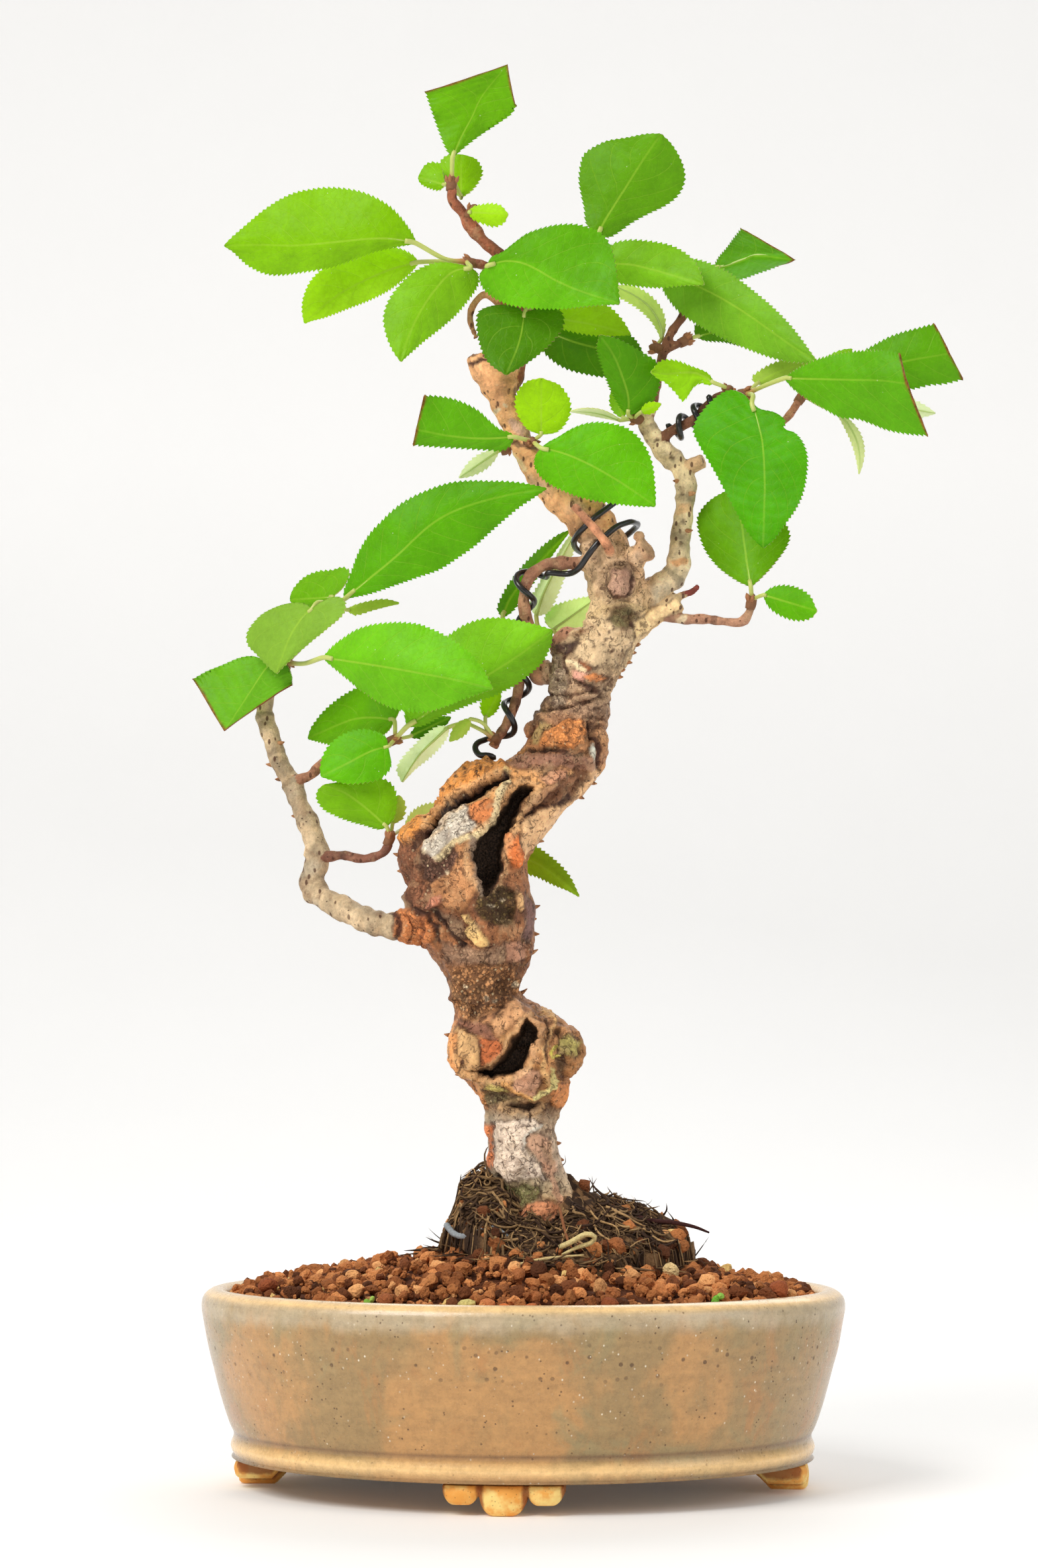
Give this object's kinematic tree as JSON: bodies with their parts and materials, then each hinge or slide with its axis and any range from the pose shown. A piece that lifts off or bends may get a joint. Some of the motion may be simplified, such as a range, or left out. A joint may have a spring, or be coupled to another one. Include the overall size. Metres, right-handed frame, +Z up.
{
  "type": "chinese quince bonsai",
  "caption": "Small gnarled quince tree with leafy branches and training wire, rooted in granular soil in an oval glazed pot on cloud feet.",
  "frame": {"origin": "middle of the whole's footprint box, on the surface that the feet rest on", "axes": "+Z up, +X to the viewer's right and +Y away from the viewer of the tree's front; the pot's centre is 11.5 mm to the left of the origin"},
  "size_m": [0.1832, 0.1204, 0.3328],
  "materials": {
    "glaze": "glossy honey-brown to grey-green glaze with pits and flecks",
    "foot_clay": "bare amber clay, dull, with rusty stains",
    "akadama": "baked red-brown clay granules, dull",
    "root_fibre": "dark matted fine roots, dull",
    "bark": "rough grey, brown and orange bark with hollows",
    "leaf": "semi-gloss green leaf, paler and duller underneath",
    "wire": "black anodised",
    "screen": "black moulded plastic"
  },
  "bodies": {
    "root": {"drain_screen_left": "screen", "drain_screen_right": "screen", "foot_back": "foot_clay", "foot_front": "foot_clay", "foot_left": "foot_clay", "foot_right": "foot_clay", "pot": "glaze", "root_mound": "root_fibre", "soil_bed": "akadama", "spray_apex": "leaf", "spray_apex_side": "leaf", "spray_back_low": "leaf", "spray_back_upper": "leaf", "spray_crown_front": "leaf", "spray_crown_low": "leaf", "spray_crown_right": "leaf", "spray_hanging": "leaf", "spray_leader": "leaf", "spray_leader_back": "leaf", "spray_left_high": "leaf", "spray_left_low": "leaf", "spray_left_mid": "leaf", "spray_left_shoulder": "leaf", "spray_left_tip": "leaf", "spray_right_crown": "leaf", "spray_right_curl": "leaf", "spray_right_fork": "leaf", "spray_right_hang": "leaf", "spray_right_inner": "leaf", "spray_right_low": "leaf", "spray_right_pale": "leaf", "spray_right_tip": "leaf", "trunk": "bark", "wire_left": "wire", "wire_right": "wire"}
  },
  "joints": []
}
